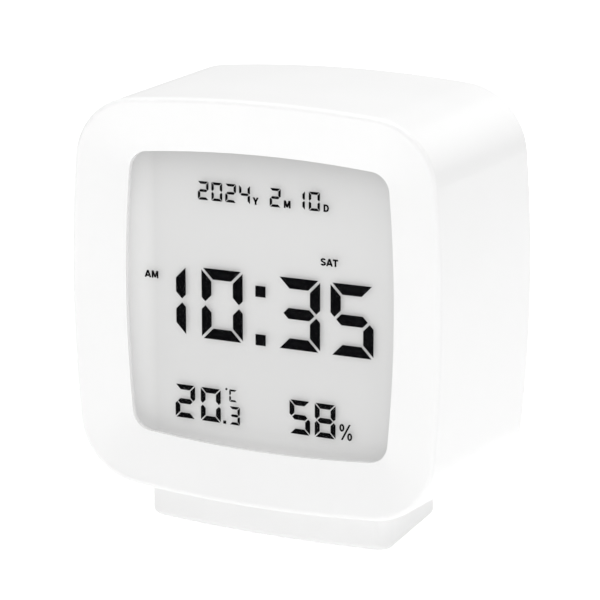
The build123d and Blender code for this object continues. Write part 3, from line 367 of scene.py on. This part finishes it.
# How much painted light brightens the film at its left and right edge, where the ring shades it, and from
# where to where in from it that fades.
left_painted_light, left_reach = 1.38, (0.001, 0.0072)
right_painted_light, right_reach = 1.07, (0.001, 0.008)
reflector, tree, shader, place = new_material("reflector_film")
split = place_node(tree, "ShaderNodeSeparateXYZ")
along = place_node(tree, "ShaderNodeMapRange", {"From Min": film_low.z, "From Max": film_high.z})
ramp = place_node(tree, "ShaderNodeValToRGB")
ramp.color_ramp.interpolation = "B_SPLINE"
for position, level in film_shade_and_light_stops[1:-1]:
    ramp.color_ramp.elements.new(position)
for element, (position, level) in zip(ramp.color_ramp.elements, film_shade_and_light_stops):
    element.position = position
    element.color = (level, level, level * film_blue, 1.0)
pearl = place_node(tree, "ShaderNodeTexNoise", {"Scale": pearl_grain, "Detail": 2.0})
film_bump = place_node(tree, "ShaderNodeBump", {"Strength": pearl_strength, "Distance": pearl_depth})
tree.links.new(place.outputs["Object"], split.inputs["Vector"])
tree.links.new(split.outputs["Z"], along.inputs["Value"])
tree.links.new(along.outputs["Result"], ramp.inputs["Fac"])
# Painted light at the film's left and right edges makes up for the shade the ring throws there.
left = place_node(tree, "ShaderNodeMapRange", {
    "From Min": film_low.x + left_reach[0], "From Max": film_low.x + left_reach[1], "To Min": left_painted_light,
    "To Max": 1.0})
right = place_node(tree, "ShaderNodeMapRange", {
    "From Min": film_high.x - right_reach[1], "From Max": film_high.x - right_reach[0], "To Min": 1.0,
    "To Max": right_painted_light})
sides = place_node(tree, "ShaderNodeMath", operation="MULTIPLY")
for index, edge in enumerate((left, right)):
    tree.links.new(split.outputs["X"], edge.inputs["Value"])
    tree.links.new(edge.outputs["Result"], sides.inputs[index])
film_with_painted_light = place_node(tree, "ShaderNodeVectorMath", operation="SCALE")
tree.links.new(ramp.outputs["Color"], film_with_painted_light.inputs[0])
tree.links.new(sides.outputs["Value"], film_with_painted_light.inputs["Scale"])
tree.links.new(film_with_painted_light.outputs["Vector"], shader.inputs["Base Color"])
tree.links.new(place.outputs["Object"], pearl.inputs["Vector"])
tree.links.new(pearl.outputs["Fac"], film_bump.inputs["Height"])
tree.links.new(film_bump.outputs["Normal"], shader.inputs["Normal"])
shader.inputs["Roughness"].default_value = film_roughness
# Painted glow: the film shines with its own painted colour, though it is no lamp.
tree.links.new(film_with_painted_light.outputs["Vector"], shader.inputs["Emission Color"])
shader.inputs["Emission Strength"].default_value = film_painted_glow
finishes["reflector_film"] = reflector
print("film", [round(v, 4) for v in film_high - film_low], "stops", len(film_shade_and_light_stops))


# %% [markdown]
# Some pieces carry a regular pattern: copper tracks under green lacquer, the conductors in a ribbon, the
# black and pink layers of a contact strip, the dots that let light out of a guide, the bands of a cell.
# Each is a wave or a cell texture turned into a mask that mixes two colours.

# %% Patterned finishes
relief_strength, relief_depth = 0.3, 0.00003


def two_tone(name, texture, low_colour, high_colour, edge, roughness, metallic=0.0, alpha=1.0, stretch=None):
    material, tree, shader, place = new_material(name)
    kind, output, values, properties = texture
    link = tree.links.new
    source = place.outputs["Object"]
    if stretch:
        drawn = place_node(tree, "ShaderNodeMapping", {"Scale": stretch})
        link(source, drawn.inputs["Vector"])
        source = drawn.outputs["Vector"]
    pattern = place_node(tree, kind, values, **properties)
    link(source, pattern.inputs["Vector"])
    mask = place_node(tree, "ShaderNodeMapRange", {"From Min": edge[0], "From Max": edge[1]})
    link(pattern.outputs[output], mask.inputs["Value"])
    mix = place_node(tree, "ShaderNodeMix", data_type="RGBA")
    mix.inputs[6].default_value = (*low_colour, 1.0)
    mix.inputs[7].default_value = (*high_colour, 1.0)
    link(mask.outputs["Result"], mix.inputs["Factor"])
    link(mix.outputs[2], shader.inputs["Base Color"])
    bump = place_node(tree, "ShaderNodeBump", {"Strength": relief_strength, "Distance": relief_depth})
    link(mask.outputs["Result"], bump.inputs["Height"])
    link(bump.outputs["Normal"], shader.inputs["Normal"])
    shader.inputs["Roughness"].default_value = roughness
    shader.inputs["Metallic"].default_value = metallic
    shader.inputs["Alpha"].default_value = alpha
    return material


stripes_across = {"wave_type": "BANDS", "bands_direction": "X"}
finishes["circuit_board"] = two_tone(
    "circuit_board", ("ShaderNodeTexVoronoi", "Distance", {"Scale": 700.0},
                      {"feature": "DISTANCE_TO_EDGE", "distance": "EUCLIDEAN"}),
    (0.09, 0.36, 0.19), (0.03, 0.2, 0.09), edge=(0.03, 0.09), roughness=0.3)
finishes["ribbon_film"] = two_tone(
    "ribbon_film", ("ShaderNodeTexWave", "Fac", {"Scale": 250.0}, stripes_across),
    (0.86, 0.84, 0.78), (0.6, 0.58, 0.52), edge=(0.4, 0.6), roughness=0.35)
finishes["strip_rubber"] = two_tone(
    "strip_rubber", ("ShaderNodeTexWave", "Fac", {"Scale": 800.0}, stripes_across),
    (0.72, 0.38, 0.44), (0.05, 0.05, 0.05), edge=(0.4, 0.6), roughness=0.7)
finishes["guide_acrylic"] = two_tone(
    "guide_acrylic", ("ShaderNodeTexVoronoi", "Distance", {"Scale": 900.0, "Randomness": 0.0}, {}),
    (0.96, 0.97, 0.97), (0.86, 0.87, 0.87), edge=(0.2, 0.3), roughness=0.2, alpha=0.6)
finishes["cell_jacket"] = two_tone(
    "cell_jacket", ("ShaderNodeTexWave", "Fac", {"Scale": 9.0}, stripes_across),
    (0.1, 0.22, 0.3), (0.62, 0.63, 0.65), edge=(0.8, 0.82), roughness=0.3, metallic=0.8)
print("finishes", len(finishes))

# %% [markdown]
# The record of the model names a material slot for every part, such as white_shell or screw_steel. A finish
# has the same name as its slot, so giving all the parts their looks is one loop and nothing is forgotten.

# %% Give every solid its finish
for part in frame["record"]["subparts"]:
    piece = nodes[part["node"]]
    for index in range(len(piece.material_slots)):
        piece.material_slots[index].material = finishes[part["material_slot"]]


# %% [markdown]
# In a real display the polarising film is glued to the front glass and the two can't be told apart from the
# front. Here they become one closed piece: a plate of glass with the film's raised outline on it. The film's
# outline is read from its solid, whose points lie on one convex loop and can be sorted by their angle.

# %% Bonded front glass and film
flat_tolerance = 0.00002
same_place = 1e-7
bond_gap = 0.00002


def outline_of(name):
    # The loop of points on the front of a thin flat node, in order round its middle.
    low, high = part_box(name)
    middle = (low + high) / 2
    found = {}
    for vertex in nodes[name].data.vertices:
        if abs(vertex.co.y - low.y) < flat_tolerance:
            found[(round(vertex.co.x, 6), round(vertex.co.z, 6))] = None
    return sorted(found, key=lambda p: math.atan2(p[1] - middle.z, p[0] - middle.x))


def finished_object(name, mesh, body, material_slot):
    piece = bpy.data.objects.new(name, mesh)
    scene.collection.objects.link(piece)
    if not mesh.materials:
        mesh.materials.append(finishes[material_slot])
    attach(piece, body)
    return piece


def laminate_mesh(name, film, glass):
    # The back stops just short of the digits, so that no two faces lie in one plane.
    film_low, film_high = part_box(film)
    glass_low, glass_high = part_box(glass)
    glass_high.y -= bond_gap
    shape = bmesh.new()
    front = [shape.verts.new((x, film_low.y, z)) for x, z in outline_of(film)]
    seat = [shape.verts.new((v.co.x, glass_low.y, v.co.z)) for v in front]
    corners = [(glass_low.x, glass_low.z), (glass_high.x, glass_low.z), (glass_high.x, glass_high.z),
               (glass_low.x, glass_high.z)]
    near = [shape.verts.new((x, glass_low.y, z)) for x, z in corners]
    far = [shape.verts.new((x, glass_high.y, z)) for x, z in corners]
    for first, second in ((front, seat), (near, far)):
        for i in range(len(first)):
            j = (i + 1) % len(first)
            shape.faces.new((first[i], first[j], second[j], second[i]))
    shape.faces.new(front)
    shape.faces.new(far)
    rims = [e for e in shape.edges
            if len(e.link_faces) == 1 and abs(e.verts[0].co.y - glass_low.y) < same_place]
    bmesh.ops.triangle_fill(shape, edges=rims, use_beauty=True, use_dissolve=False)
    bmesh.ops.recalc_face_normals(shape, faces=shape.faces)
    open_edges = sum(1 for e in shape.edges if len(e.link_faces) != 2)
    mesh = bpy.data.meshes.new(name)
    shape.to_mesh(mesh)
    shape.free()
    print(name, "faces", len(mesh.polygons), "open edges", open_edges)
    return mesh


laminate = finished_object(
    "bonded_front_glass", laminate_mesh("bonded_front_glass", "lcd_front_polariser", "lcd_front_glass"),
    "clock_body", "polariser_film")
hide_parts("lcd_front_polariser", "lcd_front_glass")

# %% [markdown]
# The glass behind the digits has its sharp edges ground off. A bevel on a plain plate does that, and the
# plate is a little thinner than its solid, so that its faces don't lie in one plane with its neighbours'.

# %% Rear glass with ground edges
ground_edge = 0.0001


def ground_plate(name, node, ease, chamfer):
    low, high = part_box(node)
    shape = bmesh.new()
    bmesh.ops.create_cube(shape, size=1.0)
    size = high - low - Vector((0.0, 2 * ease, 0.0))
    for vertex in shape.verts:
        vertex.co = (low + high) / 2 + Vector(c * s for c, s in zip(vertex.co, size))
    bmesh.ops.bevel(shape, geom=shape.edges[:], offset=chamfer, segments=1, affect="EDGES")
    mesh = bpy.data.meshes.new(name)
    shape.to_mesh(mesh)
    shape.free()
    return mesh


rear_plate = finished_object(
    "ground_rear_glass", ground_plate("ground_rear_glass", "lcd_rear_glass", bond_gap, ground_edge),
    "clock_body", "display_glass")
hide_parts("lcd_rear_glass")
for piece in (nodes["display_window"], laminate, rear_plate):
    # Light falls through a clear sheet, so it throws no shadow on the film behind it.
    piece.visible_shadow = False
    piece.visible_diffuse = False
print("rear glass faces", len(rear_plate.data.polygons))

# %% [markdown]
# A hand that reaches behind the clock needs to find the right key, so each key has a small printed mark: a
# ring for the mode, triangles for up and down, a bell for the alarm. A mark could be painted by the material,
# but one this simple is crisper as a thin plate that is cut from its outline and stands a hair proud. The
# same kind of plate makes the arrow on the battery door and the plus and minus on the two cells.

# %% Printed marks
print_rise = 0.00006
print_root = 0.0002
arc_steps = 14


def arc(centre_x, centre_z, radius, start, end, steps=arc_steps):
    turns = [math.radians(start + (end - start) * i / steps) for i in range(steps + 1)]
    return [(centre_x + radius * math.cos(a), centre_z + radius * math.sin(a)) for a in turns]


def ring_loop(centre_x, centre_z, radius):
    return arc(centre_x, centre_z, radius, 0, 360, 2 * arc_steps)[:-1]


def add_plate(shape, outer, inner, low_y, high_y):
    levels = [[[shape.verts.new((x, y, z)) for x, z in loop] for loop in (outer, inner) if loop]
              for y in (low_y, high_y)]
    for low_loop, high_loop in zip(*levels):
        for i in range(len(low_loop)):
            j = (i + 1) % len(low_loop)
            shape.faces.new((low_loop[i], low_loop[j], high_loop[j], high_loop[i]))
    for loops in levels:
        if not inner:
            shape.faces.new(loops[0])
            continue
        for i in range(len(outer)):
            j = (i + 1) % len(outer)
            shape.faces.new((loops[0][i], loops[0][j], loops[1][j], loops[1][i]))


def printed_mark(name, plates, middle, size, face_y, body, material_slot="plunger_nylon"):
    # Each plate is an outline and the outline of its hole or None, in units of the mark's size.
    shape = bmesh.new()
    for outlines in plates:
        placed = [loop and [(middle[0] + x * size, middle[1] + z * size) for x, z in loop]
                  for loop in outlines]
        add_plate(shape, *placed, face_y - print_root, face_y + print_rise)
    bmesh.ops.recalc_face_normals(shape, faces=shape.faces)
    mesh = bpy.data.meshes.new(name)
    shape.to_mesh(mesh)
    shape.free()
    return finished_object(name, mesh, body, material_slot)


triangle_up = [(-0.36, -0.22), (0.36, -0.22), (0.0, 0.38)]
triangle_down = [(x, -z) for x, z in triangle_up]
bell = [(-0.38, -0.22), (-0.25, -0.06)] + arc(0.0, 0.12, 0.25, 180, 0) + [(0.25, -0.06), (0.38, -0.22)]
minus_bar = [(-0.5, -0.11), (0.5, -0.11), (0.5, 0.11), (-0.5, 0.11)]
plus_sign = [(-0.5, -0.11), (-0.11, -0.11), (-0.11, -0.5), (0.11, -0.5), (0.11, -0.11), (0.5, -0.11),
             (0.5, 0.11), (0.11, 0.11), (0.11, 0.5), (-0.11, 0.5), (-0.11, 0.11), (-0.5, 0.11)]
key_marks = {
    "mode_key": [(ring_loop(0, 0, 0.36), ring_loop(0, 0, 0.25))],
    "up_key": [(triangle_up, None)],
    "down_key": [(triangle_down, None)],
    "alarm_key": [(bell, None), (ring_loop(0, -0.33, 0.08), None)],
}
for key, plates in key_marks.items():
    low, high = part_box(key)
    middle = (low + high) / 2
    printed_mark(f"{key}_mark", plates, (middle.x, middle.z), (high.x - low.x) / 2, high.y, key)
print("marks on keys", list(key_marks))

# %% [markdown]
# The battery door turns on two tabs at its lower edge, and an arrow that points to them shows which way it
# comes open. Each cell has a plus at one end and a minus at the other, and the two lie opposite ways round.

# %% Arrow on the door, signs on the cells
arrow_size = 0.0024
arrow_drop = 0.0125
low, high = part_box("battery_door")
printed_mark("battery_door_arrow", [(triangle_down, None)], (0.0, high.z - arrow_drop), arrow_size, high.y,
             "battery_door", "foot_rubber")
sign_size = 0.0022
sign_inset = 0.0075
low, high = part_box("battery_cells")
cell_radius = (high.y - low.y) / 2
for row, side in ((low.z + cell_radius, -1), (high.z - cell_radius, 1)):
    for label, sign, end in (("plus", plus_sign, side), ("minus", minus_bar, -side)):
        name = f"cell_{label}_{'lower' if side < 0 else 'upper'}"
        printed_mark(name, [(sign, None)], (end * (high.x - sign_inset), row), sign_size, high.y,
                     "clock_body")
        print(name, "at", round(end * (high.x - sign_inset), 4), round(row, 4))

# %% [markdown]
# The rubber pad under the pedestal grips the table with a field of small studs, and the board has a row of
# solder joints along its upper and its lower edge. Both are one short cone repeated on a set of points, which
# is work for Geometry Nodes: the points come in as a mesh, and the cone's sizes are inputs of the tree.

# %% A tree that sets a cone on every point
cone_sides = 10


def cone_tree():
    tree = bpy.data.node_groups.new("cones_on_points", "GeometryNodeTree")
    sockets = [("Geometry", "NodeSocketGeometry"), ("Base radius", NUMBER), ("Tip radius", NUMBER),
               ("Height", NUMBER), ("Turn", VECTOR), ("Finish", "NodeSocketMaterial")]
    for socket, kind in sockets:
        tree.interface.new_socket(socket, in_out="INPUT", socket_type=kind)
    tree.interface.new_socket("Geometry", in_out="OUTPUT", socket_type="NodeSocketGeometry")
    given, result = place_node(tree, "NodeGroupInput"), place_node(tree, "NodeGroupOutput")
    cone = place_node(tree, "GeometryNodeMeshCone", {"Vertices": cone_sides})
    turned = place_node(tree, "FunctionNodeEulerToRotation")
    repeat = place_node(tree, "GeometryNodeInstanceOnPoints")
    realize = place_node(tree, "GeometryNodeRealizeInstances")
    paint = place_node(tree, "GeometryNodeSetMaterial")
    link = tree.links.new
    link(given.outputs["Base radius"], cone.inputs["Radius Bottom"])
    link(given.outputs["Tip radius"], cone.inputs["Radius Top"])
    link(given.outputs["Height"], cone.inputs["Depth"])
    link(given.outputs["Turn"], turned.inputs["Euler"])
    link(given.outputs["Geometry"], repeat.inputs["Points"])
    link(cone.outputs["Mesh"], repeat.inputs["Instance"])
    link(turned.outputs["Rotation"], repeat.inputs["Rotation"])
    link(repeat.outputs["Instances"], realize.inputs["Geometry"])
    link(realize.outputs["Geometry"], paint.inputs["Geometry"])
    link(given.outputs["Finish"], paint.inputs["Material"])
    link(paint.outputs["Geometry"], result.inputs["Geometry"])
    return tree


cones = cone_tree()
print("cone tree", len(cones.nodes), "nodes")


def cones_mesh(name, points, base_radius, tip_radius, height, turn, material_slot):
    cloud = bpy.data.meshes.new(name + "_points")
    cloud.from_pydata(points, [], [])
    carrier = bpy.data.objects.new(name + "_points", cloud)
    scene.collection.objects.link(carrier)
    modifier = carrier.modifiers.new("cones", "NODES")
    modifier.node_group = cones
    values = {"Base radius": base_radius, "Tip radius": tip_radius, "Height": height, "Turn": turn,
              "Finish": finishes[material_slot]}
    for item in cones.interface.items_tree:
        if item.in_out == "INPUT" and item.name in values:
            modifier[item.identifier] = values[item.name]
    carrier.update_tag()
    bpy.context.view_layer.update()
    evaluated = carrier.evaluated_get(bpy.context.evaluated_depsgraph_get())
    mesh = bpy.data.meshes.new_from_object(evaluated)
    mesh.name = name
    bpy.data.objects.remove(carrier)
    print(name, "points", len(points), "faces", len(mesh.polygons))
    return mesh


# %% [markdown]
# The pad is a slab cut from the outline of its solid, a little thinner, so that the studs end where the solid
# ended. The studs stand in staggered rows. One that would reach the rim is dropped, by testing how far its
# middle lies inside the outline.

# %% Studded foot pad
stud_pitch = 0.0024
stud_margin = 0.0012
stud_height = 0.0004
stud_base, stud_tip = 0.0008, 0.00055
pad_low, pad_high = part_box("foot_pad")
pad_middle = (pad_low + pad_high) / 2
pad_outline = {(round(v.co.x, 6), round(v.co.y, 6)) for v in nodes["foot_pad"].data.vertices
               if abs(v.co.z - pad_low.z) < flat_tolerance}
pad_outline = sorted(pad_outline, key=lambda p: math.atan2(p[1] - pad_middle.y, p[0] - pad_middle.x))


def inside_by(x, y, loop, margin):
    # True where a point lies inside a convex loop, at least a margin away from each of its sides.
    for (x0, y0), (x1, y1) in zip(loop, loop[1:] + loop[:1]):
        run = math.hypot(x1 - x0, y1 - y0)
        if run and ((x1 - x0) * (y - y0) - (y1 - y0) * (x - x0)) / run < margin:
            return False
    return True


columns = range(math.ceil((pad_high.x - pad_low.x) / stud_pitch))
rows = range(math.ceil((pad_high.y - pad_low.y) / stud_pitch))
spots = [(pad_low.x + (i + 0.5 * (j % 2)) * stud_pitch, pad_low.y + j * stud_pitch)
         for j in rows for i in columns]
slab_low = pad_low.z + stud_height
spots = [(x, y, slab_low) for x, y in spots if inside_by(x, y, pad_outline, stud_base + stud_margin)]
studs = cones_mesh("foot_pad_studs", spots, stud_base, stud_tip, stud_height, (math.pi, 0.0, 0.0),
                   "foot_rubber")
shape = bmesh.new()
shape.from_mesh(studs)
edges = [[shape.verts.new((x, y, z)) for x, y in pad_outline] for z in (slab_low, pad_high.z)]
for i in range(len(pad_outline)):
    j = (i + 1) % len(pad_outline)
    shape.faces.new((edges[0][i], edges[0][j], edges[1][j], edges[1][i]))
for loop in edges:
    shape.faces.new(loop)
bmesh.ops.recalc_face_normals(shape, faces=shape.faces)
shape.to_mesh(studs)
shape.free()
studded = finished_object("studded_foot_pad", studs, "pedestal_base", "foot_rubber")
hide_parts("foot_pad")

# %% [markdown]
# Pins that pass through a board end in small shiny cones of solder. The same tree makes two rows of them,
# turned so that their tips point to the back.

# %% Solder joints along the board
joint_count = 13
joint_pitch = 0.0042
joint_inset = 0.0035
joint_base, joint_tip, joint_height = 0.0007, 0.0002, 0.0005
board_low, board_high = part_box("main_board")
joints = [((i - (joint_count - 1) / 2) * joint_pitch, board_high.y, z)
          for i in range(joint_count) for z in (board_low.z + joint_inset, board_high.z - joint_inset)]
solder = cones_mesh("board_solder_joints", joints, joint_base, joint_tip, joint_height,
                    (-math.pi / 2, 0.0, 0.0), "plated_steel")
finished_object("board_solder_joints", solder, "clock_body", "plated_steel")

# %% [markdown]
# The two coil springs under the body are shortened when it is pressed down. The model's springs are rigid,
# and here a copy of them, with its doubled points merged, is hung on the foot that they stand on.

# %% Springs copied onto the foot
shape = bmesh.new()
shape.from_mesh(nodes["pedestal_springs"].data)
bmesh.ops.remove_doubles(shape, verts=shape.verts, dist=same_place)
coils = bpy.data.meshes.new("pressed_springs")
shape.to_mesh(coils)
shape.free()
coils.materials.clear()
springs = finished_object("pressed_springs", coils, "pedestal_base", "plated_steel")
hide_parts("pedestal_springs")
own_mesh(springs)
